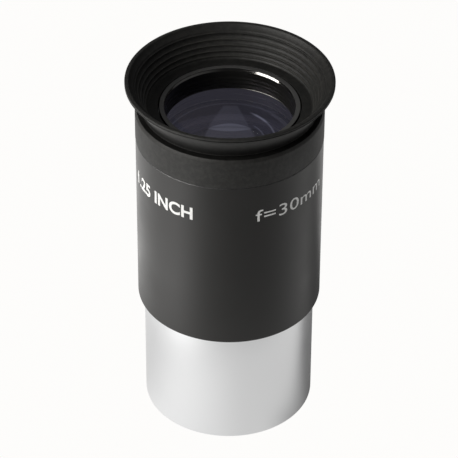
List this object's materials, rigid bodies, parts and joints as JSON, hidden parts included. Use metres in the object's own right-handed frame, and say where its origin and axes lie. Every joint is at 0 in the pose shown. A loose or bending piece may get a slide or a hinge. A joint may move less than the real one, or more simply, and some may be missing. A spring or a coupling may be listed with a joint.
{
  "type": "telescope eyepiece",
  "caption": "Telescope eyepiece with a push-fit metal barrel, a smooth dark body, two cemented doublets inside and a flared rubber eyecup that folds down.",
  "frame": {"origin": "centre of the barrel's open bottom face, on the optical axis", "axes": "+Z along the optical axis towards the eye; +X and +Y are across it, with -Y the side that carries the printed markings"},
  "size_m": [0.0378, 0.0378, 0.071],
  "materials": {
    "barrel_metal": "satin",
    "stop_metal": "matte",
    "sleeve_black": "satin anodised",
    "cell_black": "satin anodised",
    "ring_black": "matte anodised",
    "coated_glass": "polished, violet coating",
    "inner_glass": "polished",
    "rubber": "matte"
  },
  "bodies": {
    "nosepiece": {"nosepiece_barrel": "barrel_metal", "field_stop": "stop_metal"},
    "housing": {"body_sleeve": "sleeve_black", "eye_cell": "cell_black", "eye_flint_lens": "coated_glass", "eye_crown_lens": "inner_glass", "lens_spacer_ring": "ring_black", "field_crown_lens": "inner_glass", "field_flint_lens": "coated_glass", "lens_retaining_ring": "ring_black"},
    "eyecup": {"eyecup_collar": "rubber", "eyecup_lower_wall": "rubber"},
    "fold_ring": {"eyecup_crease": "rubber", "eyecup_upper_wall": "rubber"},
    "lip": {"eyecup_rim": "rubber"}
  },
  "joints": [
    {"name": "barrel_unscrew", "type": "slide", "parent": "nosepiece", "child": "housing", "axis": [0, 0, 1], "range_m": [0, 0.0052]},
    {"name": "eyecup_turn", "type": "hinge", "parent": "housing", "child": "eyecup", "pos_m": [0, 0, 0.063], "axis": [0, 0, 1], "continuous": true},
    {"name": "eyecup_fold", "type": "slide", "parent": "eyecup", "child": "fold_ring", "axis": [0, 0, -1], "range_m": [0, 0.0022], "deforming": ["eyecup_lower_wall"]},
    {"name": "lip_fold", "type": "slide", "parent": "fold_ring", "child": "lip", "axis": [0, 0, -1], "range_m": [0, 0.006], "deforming": ["eyecup_upper_wall"]}
  ],
  "couplings": [
    {"joint": "lip_fold", "follows": "eyecup_fold", "ratio": 2.727}
  ]
}
